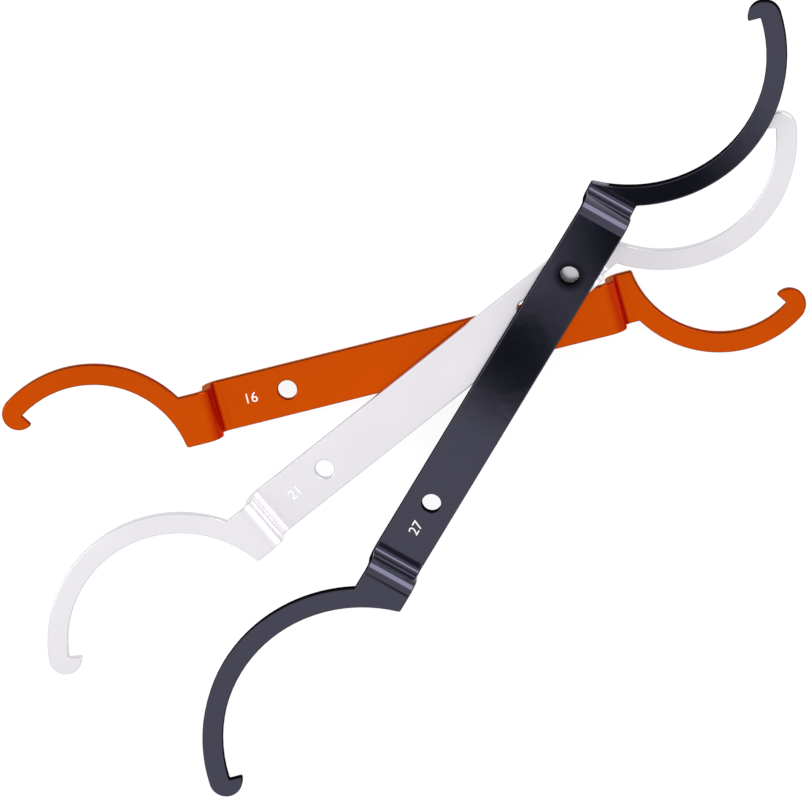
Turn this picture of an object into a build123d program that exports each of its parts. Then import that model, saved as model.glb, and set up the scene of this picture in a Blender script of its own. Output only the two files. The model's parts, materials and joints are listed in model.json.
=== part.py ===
from build123d import *
import os
from math import atan2, cos, degrees, radians, sin, sqrt, tan

# Three double-ended offset hook wrenches, lying fanned out and crossed on a table.
#
# Each wrench is one bent and stamped steel strip: a flat handle with a hanging hole near
# each end, a step bend at each end, and a hook with one inward tooth beyond each step.
# Lengths are in millimetres, +Z is up, and the table top is at z = 0.

# The strip, alike on all three wrenches.
strip_width = 9.5
strip_thickness = 1.8
step_height = 7.2
wall_lean = 6.0
inside_bend_radius = 1.1
edge_radius = 0.25

# The hooks and holes, alike on all three wrenches.
arm_width = 3.8
tooth_depth = 2.4
heel_radius = 0.5
hole_diameter = 3.6
left_hole_inset = 14.1
right_hole_inset = 13.4

# What differs: the handle between its two step walls, how the wrench lies on the table, and
# the mouth of each hook. Rise is how far the mouth's centre lies beside the handle's centre
# line, and heel gap is the plate between the step wall and the mouth.
wrenches = {
    "orange_wrench": dict(
        handle_length=77.1, middle=(1.0, 6.4), heading=15.2,
        left=dict(mouth_radius=18.4, mouth_rise=6.8, heel_gap=5.8, hook_end_angle=-56.5),
        right=dict(mouth_radius=17.0, mouth_rise=6.0, heel_gap=3.9, hook_end_angle=-55.9),
    ),
    "silver_wrench": dict(
        handle_length=77.1, middle=(2.95, 0.85), heading=40.1,
        left=dict(mouth_radius=21.8, mouth_rise=8.6, heel_gap=5.2, hook_end_angle=-32.2),
        right=dict(mouth_radius=22.1, mouth_rise=9.3, heel_gap=3.6, hook_end_angle=-35.0),
    ),
    "black_wrench": dict(
        handle_length=79.7, middle=(16.8, 1.4), heading=60.3,
        left=dict(mouth_radius=26.9, mouth_rise=12.2, heel_gap=5.1, hook_end_angle=-43.3),
        right=dict(mouth_radius=26.2, mouth_rise=11.9, heel_gap=2.2, hook_end_angle=-44.1),
    ),
}

# Air left between wrenches that lie on each other, and under those that don't carry the set.
stack_gap = 0.2

# Worked out from the values above.
half_width = strip_width / 2
half_strip = strip_thickness / 2
middle_bend_radius = inside_bend_radius + half_strip
outside_bend_radius = inside_bend_radius + strip_thickness
lean_run = step_height * tan(radians(wall_lean))


def mouth(size, hook):
    """Centre of a mouth, as if on the right, and the angles where the plate meets it."""
    inner_rise = hook["mouth_rise"] - half_width
    outer_rise = hook["mouth_rise"] + half_width
    outer_radius = hook["mouth_radius"] + arm_width
    inner_run = sqrt(hook["mouth_radius"] ** 2 - inner_rise**2)
    outer_run = sqrt(outer_radius**2 - outer_rise**2)
    centre = Vector(size["handle_length"] / 2 + hook["heel_gap"] + inner_run, hook["mouth_rise"])
    heel_angle = degrees(atan2(-inner_rise, -inner_run))
    joint_angle = degrees(atan2(-outer_rise, -outer_run))
    return centre, heel_angle, joint_angle


def bend_centre(size):
    """Centre of the bend under the left end of the handle, along the wrench and above its middle."""
    setback = middle_bend_radius * tan(radians(90 + wall_lean) / 2)
    return setback - size["handle_length"] / 2 - lean_run / 2, middle_bend_radius


def hook_reach(size, side):
    """How far the end of the hook on this side lies from the middle of the wrench."""
    hook = size[side]
    centre = mouth(size, hook)[0]
    cap_centre_radius = hook["mouth_radius"] + (arm_width - tooth_depth) / 2
    cap_radius = (arm_width + tooth_depth) / 2
    return centre.X + cap_centre_radius * cos(radians(hook["hook_end_angle"])) + cap_radius


def seat_height(size, pitch):
    """Height of the handle's middle when its left bend, or its left hook, is just off the table."""
    bend_x, bend_z = bend_centre(size)
    on_bend = outside_bend_radius - bend_x * sin(pitch) - bend_z * cos(pitch)
    on_hook = hook_reach(size, "left") * sin(pitch) - (step_height - half_strip) * cos(pitch)
    return max(on_bend, on_hook)


def crossing_corners(upper, lower):
    """The four corners, seen from above, where two handles cross, each as its distances along both."""
    turn = radians(upper["heading"] - lower["heading"])
    offset = Vector(*upper["middle"]) - Vector(*lower["middle"])
    offset = offset.rotate(Axis.Z, -lower["heading"])
    corners = []
    for upper_side in (-half_width, half_width):
        for lower_side in (-half_width, half_width):
            along_upper = (lower_side - offset.Y - upper_side * cos(turn)) / sin(turn)
            along_lower = offset.X + along_upper * cos(turn) - upper_side * sin(turn)
            corners.append((along_upper, along_lower))
    return corners


def clears(upper, pitch, height, below):
    """Whether a handle at this pitch and height passes over every handle in the list below."""
    for lower, lower_pitch, lower_height in below:
        for along_upper, along_lower in crossing_corners(upper, lower):
            underside = height + along_upper * tan(pitch) - half_strip / cos(pitch)
            top = lower_height + along_lower * tan(lower_pitch) + half_strip / cos(lower_pitch)
            if underside < top + stack_gap:
                return False
    return True


def lay_on(upper, below):
    """Lowest pitch and height at which a wrench rests on those below it."""
    low, high = 0.0, radians(40)
    for _ in range(40):
        pitch = (low + high) / 2
        if clears(upper, pitch, seat_height(upper, pitch) + stack_gap, below):
            high = pitch
        else:
            low = pitch
    return high, seat_height(upper, high) + stack_gap


def lay_wrenches():
    """Pitch and height of each wrench: the first lies on the table, each other on those before it."""
    laid = []
    for size in wrenches.values():
        if laid:
            pitch, height = lay_on(size, laid)
        else:
            pitch = atan2(step_height, size["handle_length"])
            height = seat_height(size, pitch)
        laid.append((size, pitch, height))
    return laid


def wrench_plane(size, pitch, height):
    """Plane of the handle's middle: its X runs along the handle, its Z out of the marked face."""
    heading = radians(size["heading"])
    along = Vector(cos(heading) * cos(pitch), sin(heading) * cos(pitch), sin(pitch))
    across = Vector(-sin(heading), cos(heading), 0)
    return Plane(origin=(*size["middle"], height), x_dir=along, z_dir=along.cross(across))


def half_outline(size, hook):
    """Half of a wrench's outline: from the handle's upper edge, round one hook, to its lower edge."""
    centre, heel_angle, joint_angle = mouth(size, hook)
    inner_radius = hook["mouth_radius"]
    outer_radius = inner_radius + arm_width
    tooth_radius = inner_radius - tooth_depth
    end_angle = hook["hook_end_angle"]
    cap_centre = centre + Vector((outer_radius + tooth_radius) / 2, 0).rotate(Axis.Z, end_angle)
    with BuildLine() as half:
        mouth_arc = CenterArc(centre, inner_radius, heel_angle, end_angle - heel_angle)
        Line((0, half_width), mouth_arc @ 0)
        cap = CenterArc(cap_centre, (outer_radius - tooth_radius) / 2, end_angle + 180, -180)
        Line(mouth_arc @ 1, cap @ 0)
        back = CenterArc(centre, outer_radius, end_angle, joint_angle - end_angle)
        Line(back @ 1, (0, -half_width))
    return half.line


def bent_strip_path(size):
    """Middle line of the strip seen from the side: left plate high, handle, right plate low."""
    wall = size["handle_length"] / 2
    end = max(hook_reach(size, "left"), hook_reach(size, "right")) + strip_width
    return [
        (-end, step_height),
        (-wall + lean_run / 2, step_height),
        (-wall - lean_run / 2, 0),
        (wall + lean_run / 2, 0),
        (wall - lean_run / 2, -step_height),
        (end, -step_height),
    ]


def is_heel(corner, size):
    """Whether a corner of the outline is a heel, where a plate's edge meets its mouth."""
    hook = size["right"] if corner.X > 0 else size["left"]
    heel_x = size["handle_length"] / 2 + hook["heel_gap"]
    return abs(abs(corner.X) - heel_x) < 0.01 and corner.X * corner.Y > 0


def build_wrench(size):
    """One wrench, its handle level at the origin: its bent side and its cut outline, in common."""
    wall_x = size["handle_length"] / 2
    with BuildPart() as wrench:
        with BuildSketch(Plane.XZ):
            with BuildLine():
                FilletPolyline(*bent_strip_path(size), radius=middle_bend_radius)
            trace(line_width=strip_thickness)
        extrude(amount=2 * max(size["left"]["mouth_radius"], size["right"]["mouth_radius"]), both=True)
        with BuildSketch() as outline:
            with BuildLine():
                add(half_outline(size, size["right"]))
                add(half_outline(size, size["left"]).rotate(Axis.Z, 180))
            make_face()
            fillet([corner for corner in outline.vertices() if is_heel(corner, size)], heel_radius)
            with Locations((left_hole_inset - wall_x, 0), (wall_x - right_hole_inset, 0)):
                Circle(hole_diameter / 2, mode=Mode.SUBTRACT)
        extrude(amount=2 * step_height, both=True, mode=Mode.INTERSECT)
        fillet(wrench.edges(), edge_radius)
    return wrench.part


def centring_move(parts):
    """Level move that brings the middle of the whole set's box over the origin."""
    middle = Compound(parts).bounding_box().center()
    return Location((-middle.X, -middle.Y, 0))


def main():
    os.makedirs("parts", exist_ok=True)
    parts = []
    for size, pitch, height in lay_wrenches():
        parts.append(build_wrench(size).moved(wrench_plane(size, pitch, height).location))
    move = centring_move(parts)
    for name, part in zip(wrenches, parts):
        wrench = part.moved(move)
        wrench.label = name
        export_step(wrench, f"parts/{name}.step")


main()
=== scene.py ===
"""Looks of the three lacquered offset hook wrenches, lying fanned out on a pale studio floor.

Everything is in metres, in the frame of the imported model: +Z up, the floor at z = 0.
"""

import json
from math import cos, pi, radians, sin

import bpy
from mathutils import Matrix, Vector


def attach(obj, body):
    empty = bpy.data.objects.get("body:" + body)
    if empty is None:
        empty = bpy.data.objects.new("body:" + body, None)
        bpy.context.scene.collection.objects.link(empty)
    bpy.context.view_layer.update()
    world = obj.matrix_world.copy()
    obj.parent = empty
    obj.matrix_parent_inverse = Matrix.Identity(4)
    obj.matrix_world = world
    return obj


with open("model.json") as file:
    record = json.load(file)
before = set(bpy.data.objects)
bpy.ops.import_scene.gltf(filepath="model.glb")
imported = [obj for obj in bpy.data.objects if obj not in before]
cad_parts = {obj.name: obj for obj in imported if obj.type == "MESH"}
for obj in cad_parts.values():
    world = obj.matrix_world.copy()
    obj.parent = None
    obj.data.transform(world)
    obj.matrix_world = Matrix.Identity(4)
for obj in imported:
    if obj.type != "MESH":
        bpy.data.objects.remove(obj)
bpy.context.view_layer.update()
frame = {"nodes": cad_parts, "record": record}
mounts = {mount["name"]: mount for mount in frame["record"]["mounts"]}

# The camera looks down on the set from far off, a little from behind.
camera_tilt = radians(11)
camera_distance = 5.0
camera_target = Vector((0.0, -0.0020, 0))
picture_width = 0.1500
sensor_width = 36

# The strip that all three wrenches are bent from, and where its steps and left hole are.
strip_thickness = 0.0018
handle_lengths = {"orange": 0.0771, "silver": 0.0771, "black": 0.0797}
left_hole_inset = 0.0141

# The white numbers, each between a wrench's left step and its left hole. The share is how much
# of the font's size a figure fills.
number_height = 0.0019
number_thickness = 0.00003
figure_share = 0.70
numbers = {"orange": "16", "silver": "21", "black": "27"}
number_to_hole = {"orange": 0.0070, "silver": 0.0072, "black": 0.0057}


def make_camera():
    camera = bpy.data.objects.new("camera", bpy.data.cameras.new("camera"))
    toward_camera = Vector((0, sin(camera_tilt), cos(camera_tilt)))
    camera.location = camera_target + toward_camera * camera_distance
    camera.rotation_euler = (-camera_tilt, 0, 0)
    camera.data.sensor_width = sensor_width
    camera.data.lens = sensor_width * camera_distance / picture_width
    camera.data.clip_end = 10 * camera_distance
    bpy.context.collection.objects.link(camera)
    bpy.context.scene.camera = camera


# ---------------------------------------------------------------- studio

floor_size = 6.0
floor_color = (0.20, 0.20, 0.20)
floor_glow = 0.86
sky_strength = 0.92

# Soft boxes: where each stands, its width and height, and how bright it is to look at.
soft_boxes = {
    "back_box": dict(place=(0.50, 0.85, 0.80), size=(1.1, 0.8), radiance=3.1),
    "left_box": dict(place=(-1.1, 0.1, 0.75), size=(0.7, 0.4), radiance=2.6),
}

# Dark flags, thinner toward their rims and seen only in reflections. Two are held where the
# black wrench's flat face mirrors them into the camera: what they darken there, and how large
# they are. The third stands for the camera itself, which the bends mirror as dark lines.
flag_height = 0.30
flags = {
    "middle_flag": dict(darkens=(0.0219, 0.0092, 0.0125), size=(0.033, 0.033)),
    "arm_flag": dict(darkens=(0.0510, 0.0400, 0.0110), size=(0.060, 0.060)),
}
camera_flag_distance = 0.5
camera_flag_width = 0.24

# A flag's card is 1 across before it is sized. It starts to thin out this far from its middle.
flag_radius = 0.5
flag_thins_at = 0.18


def node_material(name):
    material = bpy.data.materials.new(name)
    material.use_nodes = True
    shader = material.node_tree.nodes["Principled BSDF"]
    return material, material.node_tree.nodes, material.node_tree.links, shader


def make_floor():
    bpy.ops.mesh.primitive_plane_add(size=floor_size)
    floor = bpy.context.object
    floor.name = "floor"
    material, nodes, links, shader = node_material("pale_floor")
    shader.inputs["Base Color"].default_value = (*floor_color, 1)
    shader.inputs["Roughness"].default_value = 0.9
    shader.inputs["Specular IOR Level"].default_value = 0.1
    shader.inputs["Emission Color"].default_value = (1, 1, 1, 1)
    shader.inputs["Emission Strength"].default_value = floor_glow
    floor.data.materials.append(material)


def aim(thing, target):
    direction = Vector(target) - thing.location
    thing.rotation_euler = direction.to_track_quat("-Z", "Y").to_euler()


def make_soft_boxes():
    for name, box in soft_boxes.items():
        light = bpy.data.lights.new(name, "AREA")
        light.shape = "RECTANGLE"
        light.size, light.size_y = box["size"]
        light.energy = box["radiance"] * pi * light.size * light.size_y
        lamp = bpy.data.objects.new(name, light)
        lamp.location = box["place"]
        lamp.visible_camera = False
        aim(lamp, (0, 0, 0))
        bpy.context.collection.objects.link(lamp)


def make_flag(name, place, target, size, material):
    bpy.ops.mesh.primitive_circle_add(radius=flag_radius, vertices=48, fill_type="NGON")
    card = bpy.context.object
    card.name = name
    card.scale = (*size, 1)
    card.location = place
    aim(card, target)
    card.data.materials.append(material)
    for rays in ("camera", "diffuse", "transmission", "volume_scatter", "shadow"):
        setattr(card, "visible_" + rays, False)


def flag_net():
    """Black net that thins out toward a flag's rim."""
    material, nodes, links, shader = node_material("flag_net")
    shader.inputs["Base Color"].default_value = (0.01, 0.01, 0.012, 1)
    shader.inputs["Roughness"].default_value = 1
    reach = nodes.new("ShaderNodeVectorMath")
    reach.operation = "LENGTH"
    links.new(nodes.new("ShaderNodeTexCoord").outputs["Object"], reach.inputs[0])
    thinning = remap(nodes, links, reach.outputs["Value"], flag_thins_at, flag_radius, 1, 0)
    links.new(thinning, shader.inputs["Alpha"])
    return material


def make_flags():
    face = Vector(mounts["black_left_hole"]["axis"])
    toward_camera = Vector((0, sin(camera_tilt), cos(camera_tilt)))
    mirrored = 2 * face.dot(toward_camera) * face - toward_camera
    material = flag_net()
    for name, flag in flags.items():
        place = Vector(flag["darkens"]) + mirrored * flag_height / mirrored.z
        make_flag(name, place, flag["darkens"], flag["size"], material)
    place = toward_camera * camera_flag_distance
    make_flag("camera_flag", place, (0, 0, 0), (camera_flag_width,) * 2, material)


def make_sky():
    world = bpy.data.worlds.new("studio")
    bpy.context.scene.world = world
    world.use_nodes = True
    world.node_tree.nodes["Background"].inputs["Color"].default_value = (1, 1, 1, 1)
    world.node_tree.nodes["Background"].inputs["Strength"].default_value = sky_strength
    bpy.context.scene.view_settings.view_transform = "Standard"


# ---------------------------------------------------------------- finishes

# How fine each pattern is, in waves per metre, and how deep the lacquer's skin waves are.
cloud_scale = 45
haze_scale = 120
skin_scale = 260
skin_depth = 0.000012
ink_scale = 2500

# A step bend reaches this far along the strip from its wall, and fades out by the second value.
step_reach = (0.0030, 0.0036)

# Squared upward part of the surface direction where the painted shade on an edge, or on a steep bend,
# begins and is full.
edge_shade_begins, edge_shade_full = 0.95, 0.45
bend_shade_begins, bend_shade_full = 0.96, 0.50

# The ring of painted shade round the black wrench's right hole, where less is reflected, from its inner
# to its outer radius.
shade_ring_radii = (0.0018, 0.0033)


def wrench_axes(color):
    """Directions along the handle to the right, across it, and out of its marked face."""
    left, right = (Vector(mounts[f"{color}_{side}_hook"]["pos_m"]) for side in ("left", "right"))
    normal = Vector(mounts[f"{color}_left_hole"]["axis"])
    middle = (left + right) / 2
    hole = Vector(mounts[f"{color}_left_hole"]["pos_m"])
    along = (middle - hole).normalized()
    along = (along - along.dot(normal) * normal).normalized()
    return along, normal.cross(along), normal


def noise(nodes, links, scale, detail=2.0):
    """Noise in object space."""
    place = nodes.new("ShaderNodeTexCoord").outputs["Object"]
    texture = nodes.new("ShaderNodeTexNoise")
    texture.inputs["Scale"].default_value = scale
    texture.inputs["Detail"].default_value = detail
    links.new(place, texture.inputs["Vector"])
    return texture.outputs["Fac"]


def remap(nodes, links, value, low, high, to_low, to_high):
    node = nodes.new("ShaderNodeMapRange")
    node.inputs["From Min"].default_value = low
    node.inputs["From Max"].default_value = high
    node.inputs["To Min"].default_value = to_low
    node.inputs["To Max"].default_value = to_high
    links.new(value, node.inputs["Value"])
    return node.outputs["Result"]


def mix_colors(nodes, links, factor, first, second):
    """Mix of two colours, each a socket or a plain colour."""
    node = nodes.new("ShaderNodeMix")
    node.data_type = "RGBA"
    links.new(factor, node.inputs["Factor"])
    for socket, color in ((node.inputs[6], first), (node.inputs[7], second)):
        if isinstance(color, bpy.types.NodeSocket):
            links.new(color, socket)
        else:
            socket.default_value = (*color, 1)
    return node.outputs[2]


def math_node(nodes, links, operation, first, second):
    """Result of one sum on numbers, each a socket or a plain number."""
    node = nodes.new("ShaderNodeMath")
    node.operation = operation
    for socket, value in zip(node.inputs, (first, second)):
        if isinstance(value, bpy.types.NodeSocket):
            links.new(value, socket)
        else:
            socket.default_value = value
    return node.outputs["Value"]


def dot_product(nodes, links, vector, direction):
    node = nodes.new("ShaderNodeVectorMath")
    node.operation = "DOT_PRODUCT"
    links.new(vector, node.inputs[0])
    node.inputs[1].default_value = direction
    return node.outputs["Value"]


def step_mask(nodes, links, color_name):
    """1 on the wrench's two step bends, 0 on its handle and hooks."""
    along, _, _ = wrench_axes(color_name)
    half_handle = handle_lengths[color_name] / 2
    middle = Vector(mounts[color_name + "_left_hole"]["pos_m"]) + along * (half_handle - left_hole_inset)
    place = nodes.new("ShaderNodeTexCoord").outputs["Object"]
    distance = dot_product(nodes, links, place, along)
    distance = math_node(nodes, links, "SUBTRACT", distance, middle.dot(along))
    distance = math_node(nodes, links, "ABSOLUTE", distance, 0)
    distance = math_node(nodes, links, "SUBTRACT", distance, half_handle)
    distance = math_node(nodes, links, "ABSOLUTE", distance, 0)
    return remap(nodes, links, distance, *step_reach, 1, 0)


def painted_shade_masks(nodes, links, color_name):
    """Two masks of painted shade: 1 on the strip's cut edges, and 1 on the steep parts of its step
    bends.
    """
    along, _, normal = wrench_axes(color_name)
    facing = nodes.new("ShaderNodeTexCoord").outputs["Normal"]
    step = step_mask(nodes, links, color_name)
    upward = dot_product(nodes, links, facing, normal)
    upward = math_node(nodes, links, "MULTIPLY", upward, upward)
    lengthwise = dot_product(nodes, links, facing, along)
    lengthwise = math_node(nodes, links, "MULTIPLY", lengthwise, lengthwise)
    lengthwise = math_node(nodes, links, "MULTIPLY", lengthwise, step)
    flatness = math_node(nodes, links, "ADD", upward, lengthwise)
    edge_shade_mask = remap(nodes, links, flatness, edge_shade_begins, edge_shade_full, 0, 1)
    steepness = remap(nodes, links, upward, bend_shade_begins, bend_shade_full, 0, 1)
    return edge_shade_mask, math_node(nodes, links, "MULTIPLY", steepness, step)


def shade_round_hole(nodes, links, mount):
    """Painted shade round a hanging hole: 0 at its rim, rising to 1 at the outside of the darker ring
    round it, as the share of reflection kept.
    """
    reach = nodes.new("ShaderNodeVectorMath")
    reach.operation = "DISTANCE"
    reach.inputs[1].default_value = Vector(mount["pos_m"]) + Vector(mount["axis"]) * strip_thickness / 2
    links.new(nodes.new("ShaderNodeTexCoord").outputs["Object"], reach.inputs[0])
    return remap(nodes, links, reach.outputs["Value"], *shade_ring_radii, 0, 1)


def lacquer(
    color_name, color, thick_color, bend_shade_color, edge_shade_color, metallic, roughness, edge_shade_shine,
    tint=(1, 1, 1), ior=1.5,
):
    """Glossy baked lacquer, cloudy in depth, with painted shade: darker colours on the step bends and
    cut edges, less reflection on the edges and round the black wrench's right hole.
    """
    material, nodes, links, shader = node_material(color_name + "_lacquer")
    cloud = remap(nodes, links, noise(nodes, links, cloud_scale, 3), 0.35, 0.65, 0, 1)
    body = mix_colors(nodes, links, cloud, color, thick_color)
    edge_shade_mask, bend_shade_mask = painted_shade_masks(nodes, links, color_name)
    # Painted shade: the steep walls of the step bends take a darker colour.
    body = mix_colors(nodes, links, bend_shade_mask, body, bend_shade_color)
    # Painted shade: the cut edges take a dark colour and, below, a lower reflection level.
    links.new(mix_colors(nodes, links, edge_shade_mask, body, edge_shade_color), shader.inputs["Base Color"])
    shine = remap(nodes, links, edge_shade_mask, 0, 1, 0.5, edge_shade_shine)
    if color_name == "black":
        # Painted shade: the reflection fades in a ring round the black wrench's right hole.
        ring_of_shade = shade_round_hole(nodes, links, mounts["black_right_hole"])
        shine = math_node(nodes, links, "MULTIPLY", shine, ring_of_shade)
    links.new(shine, shader.inputs["Specular IOR Level"])
    shader.inputs["Metallic"].default_value = metallic
    shader.inputs["Specular Tint"].default_value = (*tint, 1)
    shader.inputs["IOR"].default_value = ior
    haze = noise(nodes, links, haze_scale, 4)
    links.new(
        remap(nodes, links, haze, 0.3, 0.7, roughness * 0.8, roughness * 1.25),
        shader.inputs["Roughness"],
    )
    orange_peel = nodes.new("ShaderNodeBump")
    orange_peel.inputs["Distance"].default_value = skin_depth
    orange_peel.inputs["Strength"].default_value = 0.5
    links.new(noise(nodes, links, skin_scale, 2), orange_peel.inputs["Height"])
    links.new(orange_peel.outputs["Normal"], shader.inputs["Normal"])
    return material


def ink():
    """White printing ink, a little thin and uneven."""
    material, nodes, links, shader = node_material("white_ink")
    patches = remap(nodes, links, noise(nodes, links, ink_scale, 3), 0.40, 0.60, 0, 1)
    links.new(
        mix_colors(nodes, links, patches, (0.86, 0.86, 0.87), (0.93, 0.93, 0.94)),
        shader.inputs["Base Color"],
    )
    links.new(remap(nodes, links, patches, 0, 1, 0.45, 0.6), shader.inputs["Roughness"])
    return material


# Each finish gives the colour, its cloudier colour, the painted shade colour on the step bends and the
# painted shade colour on the cut edges, then the shine.
finishes = {
    "orange": lambda: lacquer(
        "orange", (0.67, 0.080, 0.0012), (0.61, 0.075, 0.0020), (0.50, 0.030, 0.0012),
        (0.045, 0.004, 0.0004), metallic=0.9, roughness=0.18, tint=(1, 0.35, 0.05), edge_shade_shine=0.1,
    ),
    "silver": lambda: lacquer(
        "silver", (0.84, 0.82, 0.86), (0.80, 0.78, 0.82), (0.80, 0.78, 0.82), (0.56, 0.55, 0.58),
        metallic=0.70, roughness=0.22, edge_shade_shine=0.2,
    ),
    "black": lambda: lacquer(
        "black", (0.0035, 0.0042, 0.0065), (0.0028, 0.0032, 0.0048), (0.0030, 0.0034, 0.0050),
        (0.003, 0.003, 0.004),
        metallic=0.0, roughness=0.06, tint=(0.72, 0.69, 1), ior=1.85, edge_shade_shine=0.0,
    ),
}


def finish_wrenches():
    for color, make_finish in finishes.items():
        wrench = frame["nodes"][color + "_wrench"]
        wrench.data.materials.clear()
        wrench.data.materials.append(make_finish())


# ---------------------------------------------------------------- numbers

def make_number(color, material):
    """The number as flat printed strokes, standing a hair above the handle's face."""
    along, across, normal = wrench_axes(color)
    text = bpy.data.curves.new(color + "_number", "FONT")
    text.body = numbers[color]
    text.align_x = "CENTER"
    text.align_y = "CENTER"
    text.size = number_height / figure_share
    text.extrude = number_thickness / 2
    text.resolution_u = 8
    written = bpy.data.objects.new("written", text)
    bpy.context.collection.objects.link(written)
    bpy.context.view_layer.update()
    mesh = bpy.data.meshes.new_from_object(written.evaluated_get(bpy.context.evaluated_depsgraph_get()))
    bpy.data.objects.remove(written)
    number = bpy.data.objects.new(color + "_number", mesh)
    bpy.context.collection.objects.link(number)
    hole = Vector(mounts[f"{color}_left_hole"]["pos_m"])
    place = hole - along * number_to_hole[color] + normal * (strip_thickness / 2)
    turn = Matrix((along, across, normal)).transposed().to_4x4()
    mesh.transform(Matrix.Translation(place) @ turn)
    mesh.materials.clear()
    mesh.materials.append(material)
    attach(number, color + "_wrench")


make_camera()
make_floor()
make_sky()
make_soft_boxes()
make_flags()
finish_wrenches()
white_ink = ink()
for wrench_color in numbers:
    make_number(wrench_color, white_ink)
